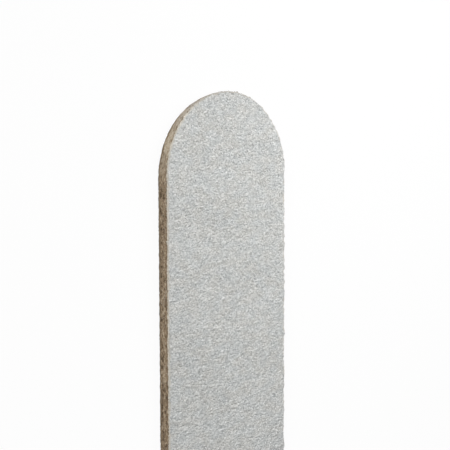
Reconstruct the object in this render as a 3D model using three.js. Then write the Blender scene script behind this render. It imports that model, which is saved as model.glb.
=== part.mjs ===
// A double-sided emery nail file, built as it is made: a stiff fibreboard core with coated abrasive
// paper glued to both faces, die-cut to a straight blade with full-round ends.
//
// Millimetres, +Z up. The file lies flat on its back face with its length along X. The origin is the
// middle of the plane that the back face rests on.

import * as THREE from "three";

// Driving dimensions of the die-cut blade.
const LENGTH = 178; // at the core's front face
const WIDTH = 19;
const END_ARC_STEPS = 36; // straight facets around each half-round end
const END_LEAN = 0.45; // each end's cut runs in this far from the front face to the back face

// The core: pulp fibreboard whose cut arrises are rubbed round.
const CORE_THICKNESS = 1.1;
const CORE_EDGE_ROUND = 0.06;
const CORE_EDGE_STEPS = 2;

// One sheet of coated abrasive, from the core outwards.
const GLUE_THICKNESS = 0.03;
const PAPER_THICKNESS = 0.18;
const BOND_COAT_THICKNESS = 0.03;
const FRONT_GRIT_HEIGHT = 0.08; // fine grade, about 180 grit
const BACK_GRIT_HEIGHT = 0.15; // coarse grade, about 100 grit
const SIZE_COAT_THICKNESS = 0.02;
const COAT_SETBACK = 0.05; // brittle coats chip back this far from the cut edge of the paper

// Distances from the blade's outline to the edge of each kind of layer.
const CORE_INSET = 0;
const PAPER_INSET = CORE_EDGE_ROUND; // glue and paper end where the core's face starts to round
const COAT_INSET = PAPER_INSET + COAT_SETBACK;

const materials = {
  fibreboard: finish("fibreboard", 0x8a7558, 0.92),
  glue: finish("glue", 0x8f7750, 0.55),
  creamPaper: finish("backing_paper", 0xd8cdb8, 0.9),
  kraftPaper: finish("kraft_paper", 0x877058, 0.92),
  bondResin: finish("bond_resin", 0xa79f90, 0.6),
  paleGrain: finish("grain", 0xa9abaa, 0.8),
  darkGrain: finish("emery_grain", 0x55514b, 0.8),
  paleResin: finish("size_resin", 0xc6c8c5, 0.85),
  darkResin: finish("emery_resin", 0x6a645b, 0.85),
};

function finish(name, color, roughness) {
  return new THREE.MeshStandardMaterial({ name, color, roughness, metalness: 0 });
}

// The outline seen from above: two straight sides joined by half circles, moved in by an inset.
function bladeOutline(inset) {
  const radius = WIDTH / 2 - inset;
  const endCentre = LENGTH / 2 - WIDTH / 2;
  const outline = new THREE.Shape();
  outline.absarc(endCentre, 0, radius, -Math.PI / 2, Math.PI / 2, false);
  outline.absarc(-endCentre, 0, radius, Math.PI / 2, (3 * Math.PI) / 2, false);
  return outline;
}

// Slants the cut of both round ends: each point moves in by its share of the lean, by how far it lies
// below the core's front face. All points of an outline lie on its end arcs, so the sides stay straight.
function leanEnds(geometry, bottom) {
  const points = geometry.getAttribute("position");
  for (let i = 0; i < points.count; i += 1) {
    const below = coreTop - (bottom + points.getZ(i));
    const inwards = (END_LEAN * below) / totalThickness;
    points.setX(i, points.getX(i) - Math.sign(points.getX(i)) * inwards);
  }
  geometry.computeVertexNormals();
}

// A flat layer of even thickness whose lower face lies at height bottom.
function flatLayer(name, material, inset, thickness, bottom) {
  const geometry = new THREE.ExtrudeGeometry(bladeOutline(inset), {
    depth: thickness,
    curveSegments: END_ARC_STEPS,
    bevelEnabled: false,
  });
  leanEnds(geometry, bottom);
  const layer = new THREE.Mesh(geometry, material);
  layer.name = name;
  layer.position.z = bottom;
  return layer;
}

// The core board, with both arrises rounded all the way round its edge.
function coreBoard(bottom) {
  const geometry = new THREE.ExtrudeGeometry(bladeOutline(CORE_INSET), {
    depth: CORE_THICKNESS - 2 * CORE_EDGE_ROUND,
    curveSegments: END_ARC_STEPS,
    bevelEnabled: true,
    bevelThickness: CORE_EDGE_ROUND,
    bevelSize: CORE_EDGE_ROUND,
    bevelOffset: -CORE_EDGE_ROUND,
    bevelSegments: CORE_EDGE_STEPS,
  });
  leanEnds(geometry, bottom + CORE_EDGE_ROUND);
  const core = new THREE.Mesh(geometry, materials.fibreboard);
  core.name = "core_board";
  core.position.z = bottom + CORE_EDGE_ROUND;
  return core;
}

// The layers of one abrasive sheet, in the order in which they lie on the core.
function sheetLayers({ paper, grain, gritHeight, sizeResin }) {
  return [
    { name: "glue_film", material: materials.glue, inset: PAPER_INSET, thickness: GLUE_THICKNESS },
    { name: "backing_paper", material: paper, inset: PAPER_INSET, thickness: PAPER_THICKNESS },
    { name: "bond_coat", material: materials.bondResin, inset: COAT_INSET, thickness: BOND_COAT_THICKNESS },
    { name: "grit", material: grain, inset: COAT_INSET, thickness: gritHeight },
    { name: "size_coat", material: sizeResin, inset: COAT_INSET, thickness: SIZE_COAT_THICKNESS },
  ];
}

function sheetThickness(layers) {
  return layers.reduce((sum, layer) => sum + layer.thickness, 0);
}

// Stacks one sheet's layers away from a face of the core: direction is 1 upwards and -1 downwards.
function abrasiveSheet(side, layers, coreFace, direction) {
  const sheet = new THREE.Group();
  sheet.name = `${side}_abrasive_sheet`;
  let height = coreFace;
  for (const { name, material, inset, thickness } of layers) {
    const bottom = direction > 0 ? height : height - thickness;
    sheet.add(flatLayer(`${side}_${name}`, material, inset, thickness, bottom));
    height += direction * thickness;
  }
  return sheet;
}

// The front sheet is fine and pale on cream paper, the back sheet coarse and dark on brown paper.
const frontLayers = sheetLayers({
  paper: materials.creamPaper,
  grain: materials.paleGrain,
  gritHeight: FRONT_GRIT_HEIGHT,
  sizeResin: materials.paleResin,
});
const backLayers = sheetLayers({
  paper: materials.kraftPaper,
  grain: materials.darkGrain,
  gritHeight: BACK_GRIT_HEIGHT,
  sizeResin: materials.darkResin,
});
const coreBottom = sheetThickness(backLayers);
const coreTop = coreBottom + CORE_THICKNESS;
const totalThickness = coreTop + sheetThickness(frontLayers);

const nailFile = new THREE.Group();
nailFile.name = "nail_file";
nailFile.add(coreBoard(coreBottom));
nailFile.add(abrasiveSheet("front", frontLayers, coreTop, 1));
nailFile.add(abrasiveSheet("back", backLayers, coreBottom, -1));

export default nailFile;
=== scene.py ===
# %% [markdown]
# # An emery nail file
# The object is a salon nail file: a stiff brown pulp board with abrasive paper glued to both faces,
# fine and pale on the front, coarse and dark on the back, cut by a die to a straight blade with round
# ends. It has no moving parts. What makes it look real is all smaller than a millimetre, so this
# lesson spends its polygons on the grit, on the torn fibres of the cut edge and on the thin pale line
# of paper between them.

# %% Load the packed model
import math

import bpy
import numpy as np
from mathutils import Matrix, Vector
from mathutils.geometry import delaunay_2d_cdt


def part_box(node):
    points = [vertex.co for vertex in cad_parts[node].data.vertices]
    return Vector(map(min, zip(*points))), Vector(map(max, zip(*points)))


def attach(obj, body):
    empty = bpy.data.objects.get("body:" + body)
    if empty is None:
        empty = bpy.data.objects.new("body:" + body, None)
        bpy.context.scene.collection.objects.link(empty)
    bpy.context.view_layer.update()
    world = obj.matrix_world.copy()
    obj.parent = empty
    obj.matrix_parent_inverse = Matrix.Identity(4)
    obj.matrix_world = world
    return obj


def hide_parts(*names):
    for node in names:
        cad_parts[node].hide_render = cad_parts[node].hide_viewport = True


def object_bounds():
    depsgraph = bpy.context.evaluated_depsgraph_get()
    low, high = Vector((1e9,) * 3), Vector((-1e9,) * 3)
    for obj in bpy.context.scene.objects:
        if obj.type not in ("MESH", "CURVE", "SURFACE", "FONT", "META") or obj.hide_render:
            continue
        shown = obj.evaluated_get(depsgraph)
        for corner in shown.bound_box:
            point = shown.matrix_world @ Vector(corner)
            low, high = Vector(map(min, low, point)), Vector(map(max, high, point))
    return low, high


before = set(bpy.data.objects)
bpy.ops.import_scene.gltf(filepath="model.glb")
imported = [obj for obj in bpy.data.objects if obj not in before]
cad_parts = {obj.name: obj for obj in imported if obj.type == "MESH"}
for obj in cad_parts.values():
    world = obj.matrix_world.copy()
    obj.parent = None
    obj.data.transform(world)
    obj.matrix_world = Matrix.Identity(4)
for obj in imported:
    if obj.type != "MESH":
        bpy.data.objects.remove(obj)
cad_low, cad_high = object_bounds()
print("solids in the frame:", sorted(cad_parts))

# %% [markdown]
# The solids lie flat with the length along X and the fine front face up. The blade's sizes and the
# place of every layer come from them, so the looks can't drift away from the model. The end and the
# long side that the picture shows are the ones at -X and -Y. The cut of both ends leans in towards the
# back face, and the two outer coats, which have the same inset, tell by how much.

# %% Read the blade's sizes
MM = 0.001
core_low, core_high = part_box("core_board")
LENGTH = core_high.x - core_low.x
WIDTH = core_high.y - core_low.y
END_RADIUS = WIDTH / 2
SIDE_RUN = LENGTH - WIDTH
END_CENTRE = SIDE_RUN / 2
GIRTH = 2 * SIDE_RUN + 2 * math.pi * END_RADIUS
TOP = cad_high.z
front_coat_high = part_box("front_size_coat")[1]
back_coat_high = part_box("back_size_coat")[1]
END_LEAN = (front_coat_high.x - back_coat_high.x) / (front_coat_high.z - back_coat_high.z)
print(f"each end leans in by {END_LEAN:.3f} mm for each mm of depth")
print(f"blade {LENGTH / MM:.1f} x {WIDTH / MM:.1f} x {TOP / MM:.2f} mm, {GIRTH / MM:.0f} mm round")

# %% [markdown]
# The camera comes first, because it decides how fine the detail has to be. It looks at the rounded
# end from above its left side, turned so that the blade stands upright in the picture. A long lens
# keeps the blade's two sides nearly parallel. The position is given from the centre of the end's half
# circle: how far round the blade's long axis, how far past the tip, and how far away.

# %% Place the camera
VIEW_ROUND = math.radians(44.88)
VIEW_PAST_TIP = math.radians(2.33)
VIEW_DISTANCE = 125 * MM
VIEW_ROLL = math.radians(-0.16)
AIM_INBOARD = 5.8 * MM
AIM_SIDEWAYS = -0.8 * MM
LENS = 86.8
NEAREST_SEEN = 1 * MM

near_end = Vector((-END_CENTRE, 0, TOP))
eye_direction = Vector((
    -math.sin(VIEW_PAST_TIP),
    -math.sin(VIEW_ROUND) * math.cos(VIEW_PAST_TIP),
    math.cos(VIEW_ROUND) * math.cos(VIEW_PAST_TIP),
))
eye = near_end + VIEW_DISTANCE * eye_direction
aim = near_end + Vector((AIM_INBOARD, AIM_SIDEWAYS, 0))
forward = (aim - eye).normalized()
level = forward.cross(Vector((-1, 0, 0))).normalized()
right = Matrix.Rotation(-VIEW_ROLL, 3, forward) @ level
upward = right.cross(forward)
turned = Matrix((right, upward, -forward)).transposed().to_4x4()

lens = bpy.data.cameras.new("picture_camera")
lens.lens = LENS
lens.clip_start = NEAREST_SEEN
camera = bpy.data.objects.new("picture_camera", lens)
camera.matrix_world = Matrix.Translation(eye) @ turned
bpy.context.scene.collection.objects.link(camera)
bpy.context.scene.camera = camera
bpy.context.scene.view_settings.view_transform = "Standard"
print("camera at", [round(c / MM, 1) for c in eye], "mm")

# %% [markdown]
# The backdrop is plain white paper. A floor that is lit to white would throw that light back onto the
# cut edge and wash it out. So the camera is shown white, and the object gets its light from pale paper
# at an ordinary level: the Light Path node tells the two apart. A small share of real shading stays in
# what the camera sees, which keeps the shadow.

# %% Floor
FLOOR_REACH = 3.0
PLAIN_WHITE = (1, 1, 1, 1)
FLOOR_PALE = (0.88, 0.88, 0.88, 1)
SHADOW_SHARE = 0.06

def sees_backdrop(nodes, links):
    """A socket that is 1 for camera, mirror and glass rays, and 0 for the rays that light things."""
    path = nodes.new("ShaderNodeLightPath")
    total = path.outputs["Is Camera Ray"]
    for kind in ("Is Glossy Ray", "Is Transmission Ray"):
        either = nodes.new("ShaderNodeMath")
        either.operation = "MAXIMUM"
        links.new(total, either.inputs[0])
        links.new(path.outputs[kind], either.inputs[1])
        total = either.outputs[0]
    return total

def floor_finish():
    """Pale paper that the camera sees as white with a faint shadow."""
    material = bpy.data.materials.new("backdrop_paper")
    material.use_nodes = True
    nodes, links = material.node_tree.nodes, material.node_tree.links
    nodes.clear()
    lit = nodes.new("ShaderNodeBsdfDiffuse")
    lit.inputs["Color"].default_value = FLOOR_PALE
    white = nodes.new("ShaderNodeEmission")
    seen = nodes.new("ShaderNodeBsdfDiffuse")
    seen.inputs["Color"].default_value = PLAIN_WHITE
    shaded = nodes.new("ShaderNodeMixShader")
    shaded.inputs["Fac"].default_value = SHADOW_SHARE
    links.new(white.outputs[0], shaded.inputs[1])
    links.new(seen.outputs[0], shaded.inputs[2])
    chosen = nodes.new("ShaderNodeMixShader")
    links.new(sees_backdrop(nodes, links), chosen.inputs["Fac"])
    links.new(lit.outputs[0], chosen.inputs[1])
    links.new(shaded.outputs[0], chosen.inputs[2])
    output = nodes.new("ShaderNodeOutputMaterial")
    links.new(chosen.outputs[0], output.inputs["Surface"])
    return material

sheet = bpy.data.meshes.new("floor")
sheet.from_pydata(
    [(-FLOOR_REACH, -FLOOR_REACH, 0), (FLOOR_REACH, -FLOOR_REACH, 0),
     (FLOOR_REACH, FLOOR_REACH, 0), (-FLOOR_REACH, FLOOR_REACH, 0)],
    [], [(0, 1, 2, 3)],
)
floor = bpy.data.objects.new("floor", sheet)
bpy.context.scene.collection.objects.link(floor)
sheet.materials.append(floor_finish())
print("the floor reaches", FLOOR_REACH, "m each way")

# %% [markdown]
# Round the floor lies an even sky, white to look at and dim where it lights the object. A picture of a
# room could stand there instead, but nothing on this object is glossy enough to mirror one.

# %% World
WORLD_LIGHT = 0.085

def light_world():
    """An even white sky, dimmer for lighting than for looking at."""
    world = bpy.data.worlds.new("studio")
    bpy.context.scene.world = world
    world.use_nodes = True
    nodes, links = world.node_tree.nodes, world.node_tree.links
    nodes.clear()
    glow = nodes.new("ShaderNodeBackground")
    glow.inputs["Color"].default_value = PLAIN_WHITE
    glow.inputs["Strength"].default_value = WORLD_LIGHT
    white = nodes.new("ShaderNodeBackground")
    white.inputs["Color"].default_value = PLAIN_WHITE
    chosen = nodes.new("ShaderNodeMixShader")
    links.new(sees_backdrop(nodes, links), chosen.inputs["Fac"])
    links.new(glow.outputs[0], chosen.inputs[1])
    links.new(white.outputs[0], chosen.inputs[2])
    output = nodes.new("ShaderNodeOutputWorld")
    links.new(chosen.outputs[0], output.inputs["Surface"])

light_world()
print("the sky lights the object at a strength of", WORLD_LIGHT)

# %% [markdown]
# A few soft lights do the work. A low key light, off the shown corner, rakes over the face and
# brings out the relief of the grit. It is far enough away to be even. A small soft box beyond each end
# is close, so its light falls off along the blade: the picture's face is brightest at the round end
# and on its far side. A weak box over the middle keeps the rest of the blade from going dark, and a
# large weak one fills the shade on the side that the key doesn't reach.

# %% Soft boxes
UPRIGHT = Vector((0, 0, 1))

def away(end, turn, height):
    """The direction out from an end, -1 or 1, turned about the upright and raised, in degrees."""
    turn, height = math.radians(turn), math.radians(height)
    flat = Vector((end * math.cos(turn), end * math.sin(turn), 0))
    return math.cos(height) * flat + math.sin(height) * UPRIGHT

def soft_box(name, target, offset, size, watts):
    """A square lamp that faces target from an offset and stays out of the camera's sight."""
    lamp = bpy.data.lights.new(name, "AREA")
    lamp.size = size
    lamp.energy = watts
    box = bpy.data.objects.new(name, lamp)
    box.location = target + offset
    box.rotation_euler = (-offset).to_track_quat("-Z", "Y").to_euler()
    box.visible_camera = False
    bpy.context.scene.collection.objects.link(box)

far_end = Vector((END_CENTRE, 0, TOP))
middle = Vector((0, 0, TOP))
# Name, target, direction, distance and size in millimetres, and watts.
SOFT_BOXES = [
    ("key_box", near_end, away(-1, 52, 30), 800, 320, 4.5),
    ("near_box", near_end, away(-1, -50, 55), 72, 60, 0.0342),
    ("far_box", far_end, away(1, -50, 55), 72, 60, 0.0342),
    ("middle_box", middle, UPRIGHT, 70, 60, 0.0029),
    ("fill_box", middle, away(1, 90, 18), 300, 240, 0.066),
]
for name, target, direction, distance, size, watts in SOFT_BOXES:
    soft_box(name, target, distance * MM * direction, size * MM, watts)
    print(f"{name}: {size} mm wide, {distance} mm away, {watts} W")

# %% [markdown]
# Every layer has the same outline, so one function gives it: evenly spaced stations round the blade,
# each with the point of the middle line that it belongs to and the direction in which it faces. A
# layer's edge is then that middle point plus the end radius, less an inset of its own. The lean of the
# ends makes the middle line shorter the deeper a layer lies. Station 0 is the tip in the picture, and
# the stations run along the shown side first.

# %% The outline of the blade

def round_blade(run):
    """For distances round the blade: the middle line's x and the outward direction there."""
    quarter = math.pi * END_RADIUS / 2
    corners = np.cumsum([0, quarter, SIDE_RUN, 2 * quarter, SIDE_RUN, quarter])
    middle = np.interp(run % GIRTH, corners, END_CENTRE * np.array([-1, -1, 1, 1, -1, -1]))
    angle = np.interp(run % GIRTH, corners, math.pi * np.array([1, 1.5, 1.5, 2.5, 2.5, 3]))
    return middle, np.column_stack([np.cos(angle), np.sin(angle), np.zeros(len(angle))])

def end_centre_at(height):
    """How far from the middle the centre of the end's half circle lies at a height."""
    return END_CENTRE - END_LEAN * (core_high.z - height)

def edge_points(run, inset, height):
    """Points at distances round the blade, moved in by an inset, and their outward directions."""
    middle, outward = round_blade(run)
    points = np.broadcast_to(END_RADIUS - inset, len(run))[:, None] * outward
    points[:, 0] += middle * end_centre_at(height) / END_CENTRE
    points[:, 2] = height
    return points, outward

def ring(count, inset, height):
    """One closed line of evenly spaced points round the blade."""
    return edge_points(np.arange(count) * GIRTH / count, inset, height)[0]

print("tip, shown side, far tip and far side in mm:", (ring(4, 0, TOP) / MM).round(1).tolist())

# %% [markdown]
# Fibres, streaks and ragged edges all need smooth random values that close on themselves round the
# blade. Random knots on a grid, blended with an eased step, are enough. A few knots along and many
# across make long thin streaks, and each piece has a seed of its own, so every run gives the same.

# %% Smooth random values
FEWEST_KNOTS = 4
LAST_KNOT_SLACK = 1e-6

def eased(knots, places):
    """Values at fractional places between neighbouring knots, along the first axis."""
    below = np.floor(places).astype(int)
    share = places - below
    share = share * share * (3 - 2 * share)
    share = share.reshape(-1, *([1] * (knots.ndim - 1)))
    return knots[below % len(knots)] * (1 - share) + knots[(below + 1) % len(knots)] * share

def knots_round(patch):
    """How many knots round the blade lie about this far apart."""
    return max(FEWEST_KNOTS, round(GIRTH / patch))

def wander(rng, count, patch):
    """Smooth values of about unit size round the blade, changing over patches of this length."""
    knots = rng.normal(size=knots_round(patch))
    return eased(knots, np.arange(count) * len(knots) / count)

def streaks(rng, rows, count, row_knots, patch):
    """Smooth values on a band round the blade: rows across it, and streaks of this length along it."""
    knots = rng.normal(size=(knots_round(patch), row_knots + 1))
    along = eased(knots, np.arange(count) * len(knots) / count)
    return eased(along.T, np.linspace(0, row_knots - LAST_KNOT_SLACK, rows))

sample = wander(np.random.default_rng(0), 1000, 1 * MM)
print(f"smooth values spread by {sample.std():.2f} about {sample.mean():.2f}")

# %% [markdown]
# A layer is a stack of rings with a lid at the top and the bottom. The lids are ladders: each station
# on one long side is joined to the one facing it on the other side, so that no face has thousands of
# corners and every mesh is closed. Near the tips the rungs lie so close together that a ragged edge
# would turn some of them over, so each ladder starts from a smooth ring a little further in.

# %% Closed layers from rings
ARRIS_ANGLE = math.radians(50)
LID_INSET = 0.6 * MM

def add_mesh(name, points, faces, finish):
    """A new object from points and faces, with its material."""
    mesh = bpy.data.meshes.new(name)
    mesh.from_pydata(np.asarray(points).tolist(), [], faces)
    mesh.materials.append(finish)
    mesh.validate()
    piece = bpy.data.objects.new(name, mesh)
    bpy.context.scene.collection.objects.link(piece)
    return piece

def round_pairs(count):
    """The numbers of neighbours round a closed line of points."""
    return [(i, (i + 1) % count) for i in range(count)]

def wall_faces(count, lower, upper):
    """Faces between two rings whose points start at the numbers lower and upper."""
    return [(lower + a, lower + b, upper + b, upper + a) for a, b in round_pairs(count)]

def lid_faces(count, first, facing_up):
    """A ladder of faces across a ring whose points start at the number first."""
    half = count // 2
    rungs = [(i, i + 1, count - i - 1, count - i) for i in range(1, half - 1)]
    ends = [(0, 1, count - 1), (half - 1, half, half + 1)]
    lid = [tuple(first + i for i in face) for face in ends + rungs]
    return lid if facing_up else [face[::-1] for face in lid]

def layer_piece(name, rings, finish):
    """A closed layer from rings of points, lowest first, smooth round its edge."""
    count = len(rings[0])
    bottom, top = rings[0][0, 2], rings[-1][0, 2]
    rings = [ring(count, LID_INSET, bottom), *rings, ring(count, LID_INSET, top)]
    faces = lid_faces(count, 0, False)
    for row in range(len(rings) - 1):
        faces += wall_faces(count, row * count, (row + 1) * count)
    faces += lid_faces(count, (len(rings) - 1) * count, True)
    piece = add_mesh(name, np.concatenate(rings), faces, finish)
    piece.data.shade_smooth()
    piece.data.set_sharp_from_angle(angle=ARRIS_ANGLE)
    return piece

print("a lid over 8 stations:", lid_faces(8, 0, True))

# %% [markdown]
# All finishes are patterns in space, measured in millimetres, so that a speck is as large on one piece
# as on the next. They could be drawn by hand in the node editor. Here a small class adds one node at a
# time and hands back the socket that the next one needs. Its first half makes the patterns.

# %% Patterns for finishes

class Patterns:
    """A material to which patterns in space are added one at a time."""

    def __init__(self, name):
        self.material = bpy.data.materials.new(name)
        self.material.use_nodes = True
        self.nodes = self.material.node_tree.nodes
        self.links = self.material.node_tree.links
        self.shader = self.nodes["Principled BSDF"]

    def add(self, kind, **settings):
        """A new node with these settings."""
        node = self.nodes.new(kind)
        for name, value in settings.items():
            setattr(node, name, value)
        return node

    def millimetres(self, stretch=(1, 1, 1)):
        """Positions on the object in millimetres. A stretch above 1 makes a pattern finer that way."""
        place = self.add("ShaderNodeTexCoord")
        scaled = self.add("ShaderNodeMapping")
        scaled.inputs["Scale"].default_value = [s / MM for s in stretch]
        self.links.new(place.outputs["Object"], scaled.inputs["Vector"])
        return scaled.outputs["Vector"]

    def noise(self, place, per_mm, detail=2.0, roughness=0.5):
        """Soft blotches, this many to the millimetre, with smaller ones in them by detail."""
        node = self.add("ShaderNodeTexNoise")
        self.links.new(place, node.inputs["Vector"])
        node.inputs["Scale"].default_value = per_mm
        node.inputs["Detail"].default_value = detail
        node.inputs["Roughness"].default_value = roughness
        return node.outputs["Fac"]

    def cells(self, place, per_mm):
        """One random number for each cell of a broken-up pattern."""
        node = self.add("ShaderNodeTexVoronoi")
        self.links.new(place, node.inputs["Vector"])
        node.inputs["Scale"].default_value = per_mm
        parts = self.add("ShaderNodeSeparateColor")
        self.links.new(node.outputs["Color"], parts.inputs["Color"])
        return parts.outputs["Red"]

    def each_island(self):
        """One random number for each loose part of a mesh."""
        return self.add("ShaderNodeNewGeometry").outputs["Random Per Island"]

    def sum(self, *shares):
        """Adds sockets, each times its share."""
        total = None
        for socket, share in shares:
            step = self.add("ShaderNodeMath", operation="MULTIPLY_ADD")
            self.links.new(socket, step.inputs[0])
            step.inputs[1].default_value = share
            if total is None:
                step.inputs[2].default_value = 0.0
            else:
                self.links.new(total, step.inputs[2])
            total = step.outputs[0]
        return total

print("patterns:", [name for name in vars(Patterns) if not name.startswith("_")])

# %% [markdown]
# The second half turns patterns into what a surface needs: colours from a ramp, a range of roughness,
# a blend of two colours and a fine relief. All of them end at one Principled shader.

# %% Finishes from patterns
# Places of the colour sockets on a Mix node, whose other sockets have the same names.
FIRST_COLOUR, SECOND_COLOUR, MIXED_COLOUR = 6, 7, 2

class Finish(Patterns):
    """A material whose patterns are made into colour, roughness and relief."""

    def feed(self, socket, value):
        """Links a socket to another, or sets it to a number or colour."""
        if isinstance(value, bpy.types.NodeSocket):
            self.links.new(value, socket)
        else:
            socket.default_value = value

    def ramp(self, factor, stops):
        """Colours along a factor. Stops are (place, (red, green, blue))."""
        node = self.add("ShaderNodeValToRGB")
        self.links.new(factor, node.inputs["Fac"])
        marks = node.color_ramp.elements
        while len(marks) < len(stops):
            marks.new(0.5)
        for mark, (place, colour) in zip(marks, stops):
            mark.position = place
            mark.color = (*colour, 1)
        return node.outputs["Color"]

    def between(self, factor, low, high, start=0.0, full=1.0):
        """A number that runs from low to high as the factor runs from start to full."""
        node = self.add("ShaderNodeMapRange")
        self.links.new(factor, node.inputs["Value"])
        node.inputs["From Min"].default_value = start
        node.inputs["From Max"].default_value = full
        node.inputs["To Min"].default_value = low
        node.inputs["To Max"].default_value = high
        return node.outputs["Result"]

    def blend(self, factor, first, second, kind="MIX"):
        """The first colour, with the second blended into it by a factor."""
        node = self.add("ShaderNodeMix", data_type="RGBA", blend_type=kind)
        self.feed(node.inputs["Factor"], factor)
        self.feed(node.inputs[FIRST_COLOUR], first)
        self.feed(node.inputs[SECOND_COLOUR], second)
        return node.outputs[MIXED_COLOUR]

    def bump(self, height, depth):
        """A fine relief of this depth in millimetres."""
        node = self.add("ShaderNodeBump")
        node.inputs["Distance"].default_value = depth * MM
        self.links.new(height, node.inputs["Height"])
        self.links.new(node.outputs["Normal"], self.shader.inputs["Normal"])

    def surface(self, colour, roughness, shine):
        """Hands colour, roughness and shine to the shader, and gives back the finished material."""
        self.feed(self.shader.inputs["Base Color"], colour)
        self.feed(self.shader.inputs["Roughness"], roughness)
        self.shader.inputs["Specular IOR Level"].default_value = shine
        return self.material

print("finishes:", [name for name in vars(Finish) if not name.startswith("_")])

# %% [markdown]
# The core is pressed pulp board. Its fibres lie flat in every direction, so the cut edge shows short
# flecks, dark and pale, hardly longer than they are high. They are brown along the sides. At the
# round ends the cut rubs up a paler, dusty fuzz, and the tips, which are handled most, are grey with
# dust from the grit. Three noises that are squeezed through the thickness give the flecks and threads
# on every part of the edge, and the recess stored in the mesh paints shade into pits and light on
# bumps.

# %% Fibreboard finish
BOARD_BROWN = [
    (0.48, (0.092, 0.065, 0.041)), (0.68, (0.256, 0.187, 0.12)),
    (0.8, (0.343, 0.26, 0.174)), (0.94, (0.59, 0.497, 0.37)),
]
BOARD_DUSTY = [
    (0.48, (0.25, 0.2, 0.138)), (0.68, (0.42, 0.348, 0.255)),
    (0.8, (0.48, 0.405, 0.306)), (0.94, (0.62, 0.56, 0.455)),
]
BOARD_TIP = [
    (0.48, (0.215, 0.192, 0.168)), (0.68, (0.35, 0.32, 0.285)),
    (0.8, (0.405, 0.375, 0.335)), (0.94, (0.53, 0.495, 0.45)),
]
# How far beyond the end arc's centre each dust starts and is full.
DUSTY_RANGE = (-0.05 * END_RADIUS, 0.2 * END_RADIUS)
TIP_RANGE = (0.45 * END_RADIUS, 0.95 * END_RADIUS)
DUST_SHARE = 0.95
# Long flecks, short flecks and threads: stretch, roughness of the noise, and share of the tone.
BOARD_FLECKS = [((2, 2, 6), 0.5, 0.35), ((7.5, 7.5, 8.5), 0.6, 0.8), ((6, 6, 34), 0.5, 0.35)]
# Painted shade and light: the tone drops in deep pits and rises a little where the torn edge stands
# out.
RECESS_PAINTED_SHADE_AND_LIGHT = -0.34
THREAD_RELIEF = 0.02
BOARD_ROUGHNESS = (0.8, 1.0)
BOARD_SHINE = 0.2

def end_dust(finish, start, full):
    """A socket that rises from 0 to the dust's share between two distances beyond the arc's centre."""
    parts = finish.add("ShaderNodeSeparateXYZ")
    finish.links.new(finish.millimetres(), parts.inputs["Vector"])
    from_middle = finish.add("ShaderNodeMath", operation="ABSOLUTE")
    finish.links.new(parts.outputs["X"], from_middle.inputs[0])
    nearest, farthest = (END_CENTRE + start) / MM, (END_CENTRE + full) / MM
    return finish.between(from_middle.outputs[0], 0.0, DUST_SHARE, nearest, farthest)

def fibreboard_finish():
    """Flecked brown board with painted shade in its pits, dusty round the ends and grey at the tips."""
    finish = Finish("fibreboard")
    flecks = []
    for stretch, roughness, share in BOARD_FLECKS:
        flecks.append((finish.noise(finish.millimetres(stretch), 1.0, roughness=roughness), share))
    threads = flecks[-1][0]
    recess = finish.add("ShaderNodeAttribute", attribute_name="recess").outputs["Fac"]
    # The recess adds painted shade in the pits and painted light where the edge stands out.
    tone = finish.sum((finish.sum(*flecks), 1.0), (recess, RECESS_PAINTED_SHADE_AND_LIGHT))
    dusty = end_dust(finish, *DUSTY_RANGE)
    colour = finish.blend(dusty, finish.ramp(tone, BOARD_BROWN), finish.ramp(tone, BOARD_DUSTY))
    colour = finish.blend(end_dust(finish, *TIP_RANGE), colour, finish.ramp(tone, BOARD_TIP))
    finish.bump(threads, THREAD_RELIEF)
    return finish.surface(colour, finish.between(threads, *BOARD_ROUGHNESS), BOARD_SHINE)

FIBREBOARD = fibreboard_finish()
print("fibreboard finish has", len(FIBREBOARD.node_tree.nodes), "nodes")

# %% [markdown]
# A die tears fibres instead of slicing them, so the board's edge is rough. It is worked out as a grid:
# for each row across the edge and each station round the blade, how far that point stands out. Layered
# streaks do most of it, and small pits mark where a bundle was pulled out. Most of the larger pits lie
# near the back, where the die leaves the board. A displacement modifier could do the same, but plain
# arrays give control over how the streaks follow the edge.

# %% Torn edge
EDGE_STEP = 0.1 * MM
EDGE_ROWS = 21
# Height of the streaks in millimetres, knots across the edge, and length along it in millimetres.
EDGE_STREAKS = [(0.01, 12, 1.2), (0.012, 9, 0.24), (0.006, 3, 4)]
# Number of pits, then the ranges of half length in mm, row, half height in rows, and depth in mm.
PITS = [
    (2400, (0.05, 0.16), (1, EDGE_ROWS - 2), (0.8, 2.2), (0.02, 0.08)),
    (380, (0.07, 0.17), (0, 5), (1.5, 3), (0.06, 0.12)),
]
PIT_REACH = 3
CORE_SEED = 11

def even_count(step):
    """An even number of stations about this far apart."""
    return 2 * round(GIRTH / step / 2)

def press_pit(torn, at, middle, half_long, half_high, depth):
    """Presses one round pit into the edge. The sizes are in stations, rows and millimetres."""
    rows, count = torn.shape
    reach = int(PIT_REACH * half_long) + 1
    near = np.arange(-reach, reach + 1)
    row = np.arange(rows)[:, None]
    shape = np.exp(-(near / half_long) ** 2 - ((row - middle) / half_high) ** 2)
    torn[:, (at + near) % count] -= depth * shape

def torn_edge(rng, rows, count):
    """How far each point of the board's cut edge stands out, in metres."""
    torn = np.zeros((rows, count))
    for height, row_knots, patch in EDGE_STREAKS:
        torn += height * streaks(rng, rows, count, row_knots, patch * MM)
    for number, lengths, middles, heights, depths in PITS:
        for _ in range(number):
            half_long = rng.uniform(*lengths) * MM / EDGE_STEP
            at = rng.integers(count)
            middle = rng.uniform(*middles)
            half_high = rng.uniform(*heights)
            press_pit(torn, at, middle, half_long, half_high, rng.uniform(*depths))
    return torn * MM

edge_count = even_count(EDGE_STEP)
torn = torn_edge(np.random.default_rng(CORE_SEED), EDGE_ROWS, edge_count)
print(f"torn edge: {torn.min() / MM:.3f} to {torn.max() / MM:.3f} mm")
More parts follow.
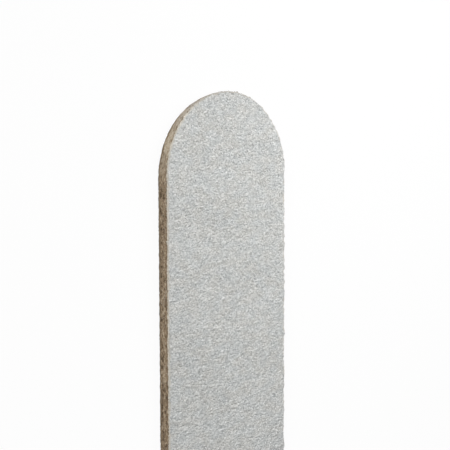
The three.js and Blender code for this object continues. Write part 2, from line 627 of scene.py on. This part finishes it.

# %% [markdown]
# The board itself is a band of fine rows round the blade, rounded at both faces where the cut is rubbed
# smooth, with each point moved by the torn edge. The depth of each point is stored in the mesh as well,
# and the finish reads it there to paint shade into the pits and light where the edge stands out.

# %% Core board
CORE_ROUND = 0.06 * MM
# A pit this deep gets the full painted shade; points that stand out get up to 0.3 of it as painted
# light.
FULL_PAINTED_SHADE_DEPTH = 0.08 * MM
RECESS_RANGE = (-0.3, 1)

def core_piece():
    """The core board, with its torn edge and the recess of each point."""
    heights = np.linspace(core_low.z, core_high.z, EDGE_ROWS)
    to_face = np.minimum(heights - core_low.z, core_high.z - heights)
    rounded = np.clip(CORE_ROUND - to_face, 0, None)
    inset = CORE_ROUND - np.sqrt(np.clip(CORE_ROUND ** 2 - rounded ** 2, 0, None))
    rings = [ring(edge_count, inset[row] - torn[row], heights[row]) for row in range(EDGE_ROWS)]
    piece = layer_piece("core_board_torn", rings, FIBREBOARD)
    lids_too = ((1, 1), (0, 0))
    depth = np.clip(np.pad(-torn / FULL_PAINTED_SHADE_DEPTH, lids_too), *RECESS_RANGE)
    recess = piece.data.attributes.new("recess", "FLOAT", "POINT")
    recess.data.foreach_set("value", depth.astype(np.float32).ravel())
    return piece

core = core_piece()
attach(core, "root")
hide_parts("core_board")
print("core edge:", len(core.data.polygons), "faces")

# %% [markdown]
# Loose fibres cross the cut edge and catch the light as thin threads. No two have the same tone: each
# fibre is a loose part of one mesh, so Blender can give it a random number of its own, and a ramp turns
# that into a brown between dark and straw.

# %% Fibre finish
FIBRE_TONES = [(0.15, (0.16, 0.116, 0.074)), (0.6, (0.31, 0.24, 0.166)), (0.95, (0.58, 0.51, 0.42))]
FIBRE_BLOTCHES_PER_MM = 6.0
FIBRE_OWN_SHARE, BLOTCH_SHARE = 0.75, 0.3
FIBRE_ROUGHNESS = (0.65, 0.95)
FIBRE_SHINE = 0.25

def fibre_finish():
    """One brown for each fibre, a little blotched along it."""
    finish = Finish("loose_fibre")
    each = finish.each_island()
    blotches = finish.noise(finish.millimetres(), FIBRE_BLOTCHES_PER_MM)
    tone = finish.sum((each, FIBRE_OWN_SHARE), (blotches, BLOTCH_SHARE))
    colour = finish.ramp(tone, FIBRE_TONES)
    return finish.surface(colour, finish.between(each, *FIBRE_ROUGHNESS), FIBRE_SHINE)

LOOSE_FIBRE = fibre_finish()
print("fibre finish has", len(LOOSE_FIBRE.node_tree.nodes), "nodes")

# %% [markdown]
# A loose fibre starts as a line on the cut edge, bent a little, with its ends dipping into the board.
# More than half of them lie nearly along the edge, as the board's own fibres do, and the rest at any
# slant.

# %% Line of a loose fibre
FIBRE_STEPS = 7
FIBRE_LENGTHS = (0.3, 1.3)
LYING_SHARE = 0.6
LYING_SLANT = 0.3
LARGEST_SLANT = 1.4
FIBRE_CURL = 0.5
MIDDLE_MARGIN = 0.1 * MM
FACE_MARGIN = 0.02 * MM
FIBRE_LIFTS = (0.004, 0.03)
FIBRE_DIP = 0.03 * MM

def fibre_points(rng):
    """The middle line of one loose fibre and the outward direction along it."""
    along = np.linspace(-0.5, 0.5, FIBRE_STEPS)
    long = rng.uniform(*FIBRE_LENGTHS) * MM
    lies = rng.random() < LYING_SHARE
    slant = rng.normal(0, LYING_SLANT) if lies else rng.uniform(-LARGEST_SLANT, LARGEST_SLANT)
    curl = rng.normal(0, FIBRE_CURL)
    across = long * (math.sin(slant) * along + curl * along * along)
    height = rng.uniform(core_low.z + MIDDLE_MARGIN, core_high.z - MIDDLE_MARGIN) + across
    height = np.clip(height, core_low.z + FACE_MARGIN, core_high.z - FACE_MARGIN)
    run = rng.uniform(0, GIRTH) + long * math.cos(slant) * along
    lift = rng.uniform(*FIBRE_LIFTS) * MM
    inset = FIBRE_DIP * (2 * along) ** 2 - lift
    return edge_points(run, inset, height)

sample = fibre_points(np.random.default_rng(0))[0]
print(f"a sample fibre spans {np.linalg.norm(sample[-1] - sample[0]) / MM:.2f} mm")

# %% [markdown]
# Hair curves would look alike but don't export, so each line becomes a small closed tube with four
# sides, thinner at its ends. All tubes are in one mesh.

# %% Loose fibres on the cut edge
FIBRE_COUNT = 2000
FIBRE_SIDES = 4
FIBRE_THIN = 0.01
FIBRE_THICKER = 0.034
MOSTLY_THIN = 3
FIBRE_END_SHARE = 0.35
FIBRE_SEED = 23

def fibre_rings(line, outward, thick):
    """Rings of points round a fibre's middle line."""
    way = np.gradient(line, axis=0)
    way /= np.linalg.norm(way, axis=1)[:, None]
    side = np.cross(way, outward)
    turn = np.arange(FIBRE_SIDES) * 2 * math.pi / FIBRE_SIDES
    rings = []
    for step in range(FIBRE_STEPS):
        offset = np.outer(np.cos(turn), outward[step]) + np.outer(np.sin(turn), side[step])
        rings.append(line[step] + thick[step] * offset)
    return rings

def fibre_faces(first):
    """Faces of a closed tube whose points start at the number first."""
    last = first + (FIBRE_STEPS - 1) * FIBRE_SIDES
    faces = []
    for low in range(first, last, FIBRE_SIDES):
        faces += wall_faces(FIBRE_SIDES, low, low + FIBRE_SIDES)
    faces.append(tuple(first + i for i in reversed(range(FIBRE_SIDES))))
    faces.append(tuple(last + i for i in range(FIBRE_SIDES)))
    return faces

def loose_fibres():
    """All fibres in one mesh, most of them thin and a few thick."""
    rng = np.random.default_rng(FIBRE_SEED)
    rings, faces = [], []
    taper = np.ones(FIBRE_STEPS)
    taper[[0, -1]] = FIBRE_END_SHARE
    for _ in range(FIBRE_COUNT):
        line, outward = fibre_points(rng)
        thick = (FIBRE_THIN + FIBRE_THICKER * rng.random() ** MOSTLY_THIN) * MM * taper
        faces += fibre_faces(len(rings) * FIBRE_SIDES)
        rings += fibre_rings(line, outward, thick)
    return add_mesh("edge_fibres", np.concatenate(rings), faces, LOOSE_FIBRE)

fibres = loose_fibres()
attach(fibres, "root")
print(FIBRE_COUNT, "loose fibres,", len(fibres.data.polygons), "faces")

# %% [markdown]
# Three thin layers lie between the board and the grit on each side: a film of glue, the backing paper
# and the first coat of resin. Only their cut edges show. The front paper is cream and makes the pale
# line along the face. The back paper is brown kraft, hardly to be told from the board. Their finishes
# are one recipe in four pairs of colours: flat streaks with specks in them, and the same grey dust at
# the tips as on the board.

# %% Finishes of glue, paper and bond coat
PAPER_CREAM = (0.71, 0.675, 0.605)
PAPER_SHADE = (0.5, 0.45, 0.375)
KRAFT_PALE = (0.28, 0.22, 0.152)
KRAFT_DARK = (0.122, 0.092, 0.061)
GLUE_AMBER = (0.26, 0.19, 0.11)
GLUE_DARK = (0.16, 0.117, 0.068)
RESIN_PALE = (0.68, 0.66, 0.61)
RESIN_DULL = (0.54, 0.515, 0.465)
SHEET_TIP_PALE = (0.5, 0.475, 0.43)
SHEET_TIP_DARK = (0.4, 0.375, 0.335)
SHEET_TIP_RANGE = (0.74 * END_RADIUS, 0.96 * END_RADIUS)
STREAK_STRETCH = (2.2, 2.2, 14)
SPECK_STRETCH = (6, 6, 10)
STREAK_SHARE, SPECK_SHARE = 0.5, 0.5
DARK_AT, PALE_AT = 0.36, 0.56
SPECK_RELIEF = 0.012

def streaky_finish(name, dark, pale, roughness, shine):
    """A thin layer's cut edge: flat streaks with specks in them."""
    finish = Finish(name)
    streak = finish.noise(finish.millimetres(STREAK_STRETCH), 1.0, detail=3)
    speck = finish.noise(finish.millimetres(SPECK_STRETCH), 1.0, detail=1)
    tone = finish.sum((streak, STREAK_SHARE), (speck, SPECK_SHARE))
    finish.bump(speck, SPECK_RELIEF)
    colour = finish.ramp(tone, [(DARK_AT, dark), (PALE_AT, pale)])
    tip = finish.ramp(tone, [(DARK_AT, SHEET_TIP_DARK), (PALE_AT, SHEET_TIP_PALE)])
    colour = finish.blend(end_dust(finish, *SHEET_TIP_RANGE), colour, tip)
    return finish.surface(colour, roughness, shine)

GLUE = streaky_finish("glue", GLUE_DARK, GLUE_AMBER, roughness=0.5, shine=0.4)
CREAM_PAPER = streaky_finish("backing_paper", PAPER_SHADE, PAPER_CREAM, roughness=0.92, shine=0.2)
KRAFT_PAPER = streaky_finish("kraft_paper", KRAFT_DARK, KRAFT_PALE, roughness=0.92, shine=0.2)
BOND_RESIN = streaky_finish("bond_resin", RESIN_DULL, RESIN_PALE, roughness=0.6, shine=0.35)
print("each of the four thin finishes has", len(GLUE.node_tree.nodes), "nodes")

# %% [markdown]
# A die leaves paper slightly ragged and makes brittle resin chip, so each layer's edge wanders by a few
# hundredths of a millimetre. Along the far side the whole front sheet wavers a little more, and its
# layers share that wave. A noise texture on a plain solid would only paint this, and the outline would
# stay straight. One function makes all six layers, at the heights of their solids.

# %% Glue, paper and bond coat
LAYER_STEP = 0.1 * MM
LAYER_ROWS = 5
LAYER_ROW_KNOTS = 3
BROAD_PATCHES = 6
BROAD_SHARE = 0.25
DIE_WAVE = 0.065 * MM
DIE_PATCH = 0.43 * MM
DIE_LIMIT = 1.5
DIE_SEED = 31
FIRST_LAYER_SEED = 40
# Solid, slot, finish, how far the edge wanders and over what length, in millimetres.
THIN_LAYERS = [
    ("front_glue_film", "glue", GLUE, 0.045, 0.12),
    ("front_backing_paper", "backing_paper", CREAM_PAPER, 0.045, 0.11),
    ("front_bond_coat", "bond_resin", BOND_RESIN, 0.03, 0.16),
    ("back_glue_film", "glue", GLUE, 0.012, 0.25),
    ("back_backing_paper", "kraft_paper", KRAFT_PAPER, 0.014, 0.3),
    ("back_bond_coat", "bond_resin", BOND_RESIN, 0.014, 0.3),
]

def die_wave(count):
    """How far the cut of the front sheet runs in round the blade: it wavers along the far side."""
    far = np.clip(round_blade(np.arange(count) * GIRTH / count)[1][:, 1], 0, 1)
    wave = wander(np.random.default_rng(DIE_SEED), count, DIE_PATCH)
    return DIE_WAVE * far * np.clip(wave, -DIE_LIMIT, DIE_LIMIT)

def thin_layer(node, finish, ragged, patch, seed):
    """A layer in place of its solid, with an edge that wanders by ragged over this patch."""
    rng = np.random.default_rng(seed)
    low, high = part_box(node)
    count = even_count(LAYER_STEP)
    inset = END_RADIUS - high.y
    broad = wander(rng, count, BROAD_PATCHES * patch * MM)
    fine = streaks(rng, LAYER_ROWS, count, LAYER_ROW_KNOTS, patch * MM)
    if node.startswith("front"):
        inset = inset + die_wave(count)
    rings = []
    for row, height in enumerate(np.linspace(low.z, high.z, LAYER_ROWS)):
        wave = ragged * MM * (fine[row] + BROAD_SHARE * broad)
        rings.append(ring(count, inset + wave, height))
    return layer_piece(f"{node}_cut", rings, finish)

for seed, (node, slot, finish, ragged, patch) in enumerate(THIN_LAYERS, start=FIRST_LAYER_SEED):
    piece = thin_layer(node, finish, ragged, patch, seed)
    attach(piece, "root")
    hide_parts(node)
    print(node, "cut edge:", len(piece.data.polygons), "faces")

# %% [markdown]
# The face is what the eye rests on: grains locked under a pale, dry coat. Its tone comes from cells of
# the size of a grain, a finer noise and faint clouds, and a slow change between cool and warm keeps the
# grey from looking like paint. A soft relief stands for the coat's wetting round the grains. The back
# has the same recipe, coarser and darker.

# %% Abrasive coat finish
COAT_PALE = [
    (0.1, (0.2, 0.204, 0.202)), (0.33, (0.5, 0.506, 0.494)),
    (0.56, (0.68, 0.686, 0.669)), (0.8, (0.9, 0.904, 0.888)),
]
COAT_DARK = [
    (0.1, (0.05, 0.046, 0.04)), (0.33, (0.13, 0.12, 0.105)),
    (0.56, (0.2, 0.185, 0.16)), (0.8, (0.34, 0.32, 0.29)),
]
COAT_TINTS = [(0.3, (0.35, 0.5, 0.66)), (0.7, (0.64, 0.5, 0.35))]
COAT_STRETCH = (1.3, 0.75, 1)
FRONT_SPECKS_PER_MM, BACK_SPECKS_PER_MM = 6.8, 3.6
FINE_PER_SPECK = 1.7
CLOUDS_PER_MM = 0.22
GRAIN_SHARE, FINE_SHARE, CLOUD_SHARE = 0.4, 0.48, 0.12
TINTS_PER_MM = 0.75
TINT_SHARE = 0.12
RELIEF_PER_SPECK = 0.6
COAT_RELIEF = 0.14
COAT_ROUGHNESS = (0.7, 0.95)
COAT_SHINE = 0.3

def coat_finish(name, speck_per_mm, tones):
    """A dry coat with specks of the size of its grains, a little wider across the blade than along."""
    finish = Finish(name)
    place = finish.millimetres(COAT_STRETCH)
    grain = finish.cells(place, speck_per_mm)
    fine = finish.noise(place, FINE_PER_SPECK * speck_per_mm)
    cloudy = finish.noise(place, CLOUDS_PER_MM, detail=3)
    tone = finish.sum((grain, GRAIN_SHARE), (fine, FINE_SHARE), (cloudy, CLOUD_SHARE))
    grey = finish.ramp(tone, tones)
    tint = finish.ramp(finish.noise(place, TINTS_PER_MM, detail=0), COAT_TINTS)
    colour = finish.blend(TINT_SHARE, grey, tint, kind="SOFT_LIGHT")
    finish.bump(finish.noise(place, RELIEF_PER_SPECK * speck_per_mm, detail=1), COAT_RELIEF)
    return finish.surface(colour, finish.between(grain, *COAT_ROUGHNESS), COAT_SHINE)

FRONT_COAT = coat_finish("front_coat", FRONT_SPECKS_PER_MM, COAT_PALE)
BACK_COAT = coat_finish("back_coat", BACK_SPECKS_PER_MM, COAT_DARK)
print("coat finish has", len(FRONT_COAT.node_tree.nodes), "nodes")

# %% [markdown]
# A grain is hardly wider than a pixel of the picture, so the sparkle comes from many small facets that
# each tilt their own way. The coat is therefore a net of scattered points joined by Delaunay triangles.
# The points come from a grid of triangles and are moved at random: as even as real grit, with no clumps
# and no rows. The rim is a fence that the triangles may not cross.

# %% Scattered points and their net
COAT_SPACING = 0.2 * MM
COLUMN_SHARE = 0.9
SCATTER = 0.36
INSIDE_ONLY = 1
SAME_POINT = 1e-9

def from_spine(points, height):
    """Distances from the middle line at a height, equal to the end radius on the blade's outline."""
    beyond = np.clip(np.abs(points[:, 0]) - end_centre_at(height), 0, None)
    return np.hypot(beyond, points[:, 1])

def scattered_points(rng, spacing, margin, height):
    """Points about this far apart, inside the blade's outline at a height by a margin."""
    column_step = COLUMN_SHARE * spacing
    rows = int(WIDTH / spacing)
    columns = int(LENGTH / column_step)
    x, y = np.meshgrid(np.arange(columns) * column_step, np.arange(rows) * spacing)
    x = x + (np.arange(rows) % 2)[:, None] * column_step / 2
    points = np.column_stack([x.ravel() - LENGTH / 2, y.ravel() - WIDTH / 2])
    points += rng.uniform(-SCATTER, SCATTER, points.shape) * [column_step, spacing]
    return points[from_spine(points, height) < END_RADIUS - margin]

def joined_net(rim, inner):
    """A net over the rim and the inner points: its points, triangles and the rim points' numbers."""
    flat = [Vector(p) for p in np.concatenate([rim, inner])]
    net = delaunay_2d_cdt(flat, round_pairs(len(rim)), [], INSIDE_ONLY, SAME_POINT)
    points, _, triangles, origins, *_ = net
    rim_number = [0] * len(rim)
    for number, came_from in enumerate(origins):
        for source in came_from:
            if source < len(rim):
                rim_number[source] = number
    return np.array([tuple(p) for p in points]), [tuple(t) for t in triangles], rim_number

print(f"net points about {COAT_SPACING / MM} mm apart")

# %% [markdown]
# Each point of the net gets a height of its own, part lone grain and part wider hump. Points at the rim
# stay lower and the rim itself is chipped, because the die crushes the brittle coat there. Plain
# arithmetic on random numbers does both, and is easier to steer than a modifier.

# %% Chips and heights of the coat
CHIP_PATCH = 0.6 * MM
LONG_CHIPS, SMALL_CHIPS = 0.9, 0.35
CHIP_RANGE = (-0.5, 1.8)
DEEPEST_CHIP = 2.1
LEAST_HEIGHT, LONE_HEIGHT, HUMP_HEIGHT = 0.05, 0.9, 0.1
HUMP_BEND, HUMP_CROSS = 3, 1.3
RIM_HEIGHT, RIM_VARIES = 0.3, 0.35
HEIGHT_RANGE = (0.08, 1)

def chipped_rim(rng, count, chip, waves):
    """How far the rim runs in at each station, for chips of about this depth."""
    chips = LONG_CHIPS * np.abs(wander(rng, count, CHIP_PATCH)) + SMALL_CHIPS * rng.normal(size=count)
    chips = chip * np.clip(chips, *CHIP_RANGE)
    return np.minimum(chips + die_wave(count), DEEPEST_CHIP * chip) if waves else chips

def height_shares(rng, flat, rim_number, hump):
    """The share of the coat's height that each point of the net reaches."""
    lone = rng.random(len(flat))
    x, y = flat[:, 0] / hump, flat[:, 1] / hump
    humps = np.sin(x + HUMP_BEND * np.sin(y)) * np.sin(y * HUMP_CROSS)
    share = LEAST_HEIGHT + LONE_HEIGHT * lone + HUMP_HEIGHT * humps
    share[rim_number] = RIM_HEIGHT + RIM_VARIES * rng.random(len(rim_number))
    return np.clip(share, *HEIGHT_RANGE)

sample = chipped_rim(np.random.default_rng(0), 1000, 1.0, False)
print(f"chips run in by {sample.min():.2f} to {sample.max():.2f} times their depth")

# %% [markdown]
# Each coat fills the room that its solids give it, from the bond coat up to the crest of the grains. A
# skirt and a ladder close the net underneath, and the back's coat is the same thing turned over. Flat
# shading, which is what a new mesh has, keeps the facets crisp.

# %% Abrasive coats
RIM_CLEARANCE = 0.12 * MM
CHIP_MARGIN = 1.5
# Side, slot, finish, length of the humps, depth of the chips, and seed.
COATS = [
    ("front", "size_resin", FRONT_COAT, 0.5 * MM, 0.13 * MM, 61),
    ("back", "emery_resin", BACK_COAT, 0.8 * MM, 0.025 * MM, 62),
]

def coat_levels(side):
    """The heights of a coat's foot, on the bond coat, and of its crest."""
    grit_low, grit_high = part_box(f"{side}_grit")
    size_low, size_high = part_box(f"{side}_size_coat")
    return (grit_low.z, size_high.z) if side == "front" else (grit_high.z, size_low.z)

def coat_piece(side, finish, hump, chip, seed):
    """The coat over one face's grains, with chips of this depth round its rim, and its points."""
    rng = np.random.default_rng(seed)
    base, crest = coat_levels(side)
    inset = END_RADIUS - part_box(f"{side}_size_coat")[1].y
    count = even_count(COAT_SPACING)
    rim = ring(count, inset + chipped_rim(rng, count, chip, side == "front"), base)
    inner = scattered_points(rng, COAT_SPACING, inset + RIM_CLEARANCE + CHIP_MARGIN * chip, base)
    flat, faces, rim_number = joined_net(rim[:, :2], inner)
    shares = height_shares(rng, flat, rim_number, hump)
    points = np.column_stack([flat, base + (crest - base) * shares])
    foot = len(points)
    inside = foot + count
    faces += [(foot + a, foot + b, rim_number[b], rim_number[a]) for a, b in round_pairs(count)]
    faces += wall_faces(count, inside, foot) + lid_faces(count, inside, False)
    if side == "back":
        faces = [face[::-1] for face in faces]
    corners = np.concatenate([points, rim, ring(count, LID_INSET, base)])
    return add_mesh(f"{side}_coat_relief", corners, faces, finish), points

coat_points = {}
for side, slot, finish, hump, chip, seed in COATS:
    coat, coat_points[side] = coat_piece(side, finish, hump, chip, seed)
    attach(coat, "root")
    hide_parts(f"{side}_size_coat")
    print(side, "coat:", len(coat.data.polygons), "faces")

# %% [markdown]
# The grains stand in the resin with their tips out. On the front some are nearly white, most are grey
# and a few dark, which one random number for each grain decides. The coarse grains of the back are
# darker still. All are glossier than the coat, so a few of them glint.

# %% Grain finish
GRAIN_PALE = [
    (0.0, (0.14, 0.145, 0.145)), (0.12, (0.32, 0.33, 0.33)),
    (0.45, (0.56, 0.57, 0.56)), (0.85, (0.86, 0.87, 0.86)),
]
GRAIN_DARK = [
    (0.0, (0.03, 0.028, 0.026)), (0.4, (0.08, 0.075, 0.068)),
    (0.7, (0.15, 0.14, 0.125)), (0.95, (0.35, 0.33, 0.3)),
]
FLECKS_PER_MM = 14.0
EACH_SHARE, FLECK_SHARE = 0.85, 0.2
GRAIN_ROUGHNESS = (0.3, 0.75)
GRAIN_SHINE = 0.5

def grain_finish(name, tones):
    """One tone for each grain, with small flecks in it."""
    finish = Finish(name)
    flecks = finish.noise(finish.millimetres(), FLECKS_PER_MM, detail=1)
    tone = finish.sum((finish.each_island(), EACH_SHARE), (flecks, FLECK_SHARE))
    colour = finish.ramp(tone, tones)
    return finish.surface(colour, finish.between(flecks, *GRAIN_ROUGHNESS), GRAIN_SHINE)

PALE_GRAIN = grain_finish("pale_grain", GRAIN_PALE)
EMERY_GRAIN = grain_finish("emery_grain", GRAIN_DARK)
print("grain finish has", len(PALE_GRAIN.node_tree.nodes), "nodes")

# %% [markdown]
# Each grain is a small broken crystal: five corners round its waist and a point above and below, all
# pushed about. Copies of a few shapes on points, by geometry nodes, would be lighter, but one mesh of
# separate crystals is as easy to write, and no two are alike.

# %% Shapes of the grains
GRAIN_WAIST = 5
GRAIN_CORNERS = GRAIN_WAIST + 2
WAIST_TURN = 0.3
WAIST_REACH = (0.7, 1.25)
WAIST_TILT = 0.25
TIP_SHIFT = 0.4
TIP_HEIGHT = (0.35, 0.7)
ROOT_DEPTH = (0.4, 0.8)

def grain_shapes(rng, size):
    """Corners of upright crystals of these half sizes: the waist first, then the tip and the root."""
    total = len(size)
    places = np.arange(GRAIN_WAIST) + rng.uniform(-WAIST_TURN, WAIST_TURN, (total, GRAIN_WAIST))
    angle = places * 2 * math.pi / GRAIN_WAIST
    reach = size[:, None] * rng.uniform(*WAIST_REACH, angle.shape)
    corners = np.zeros((total, GRAIN_CORNERS, 3))
    corners[:, :GRAIN_WAIST, 0] = reach * np.cos(angle)
    corners[:, :GRAIN_WAIST, 1] = reach * np.sin(angle)
    corners[:, :GRAIN_WAIST, 2] = size[:, None] * rng.uniform(-WAIST_TILT, WAIST_TILT, angle.shape)
    shift = rng.uniform(-TIP_SHIFT, TIP_SHIFT, (total, 2, 2))
    corners[:, GRAIN_WAIST:, :2] = size[:, None, None] * shift
    corners[:, GRAIN_WAIST, 2] = size * rng.uniform(*TIP_HEIGHT, total)
    corners[:, GRAIN_WAIST + 1, 2] = -size * rng.uniform(*ROOT_DEPTH, total)
    return corners

def grain_faces(total, outward):
    """Triangles from the waist to the tip and to the root of each grain."""
    tip, root = GRAIN_WAIST, GRAIN_WAIST + 1
    waist = round_pairs(GRAIN_WAIST)
    pattern = [(tip, a, b) for a, b in waist] + [(root, b, a) for a, b in waist]
    pattern = np.array(pattern if outward > 0 else [face[::-1] for face in pattern])
    return (pattern[None] + (np.arange(total) * GRAIN_CORNERS)[:, None, None]).reshape(-1, 3)

print("a grain has", GRAIN_CORNERS, "corners and", len(grain_faces(1, 1)), "faces")

# %% [markdown]
# The grains sit on points of the coat, chosen at random away from the rim, and are lifted so that their
# tips stand out. A grain that would stand higher than the coat's crest is pressed down to it, so the
# file keeps its thickness.

# %% Grains
GRAIN_LIFT = 0.25
# Side, slot, finish, number, smallest and largest size in millimetres, and seed.
GRAINS = [
    ("front", "grain", PALE_GRAIN, 19000, 0.12, 0.22, 71),
    ("back", "emery_grain", EMERY_GRAIN, 11000, 0.16, 0.3, 72),
]

def grain_piece(side, finish, total, small, large, seed):
    """Grains between two sizes, in millimetres, with their tips out of the coat's points."""
    rng = np.random.default_rng(seed)
    outward = 1 if side == "front" else -1
    to_spine = from_spine(coat_points[side], coat_points[side][:, 2])
    seats = coat_points[side][to_spine < to_spine.max() - large * MM]
    seats = seats[rng.choice(len(seats), total, replace=False)]
    size = rng.uniform(small, large, total) * MM / 2
    corners = grain_shapes(rng, size)
    corners[:, :, 2] *= outward
    corners += seats[:, None, :]
    corners[:, :, 2] += outward * GRAIN_LIFT * size[:, None]
    over = outward * (corners[:, :, 2] - coat_levels(side)[1])
    corners[:, :, 2] -= outward * np.clip(over.max(1), 0, None)[:, None]
    faces = grain_faces(total, outward)
    return add_mesh(f"{side}_grains", corners.reshape(-1, 3), faces.tolist(), finish)

for side, slot, finish, total, small, large, seed in GRAINS:
    grains = grain_piece(side, finish, total, small, large, seed)
    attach(grains, "root")
    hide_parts(f"{side}_grit")
    print(side, "grains:", len(grains.data.polygons), "faces")

# %% [markdown]
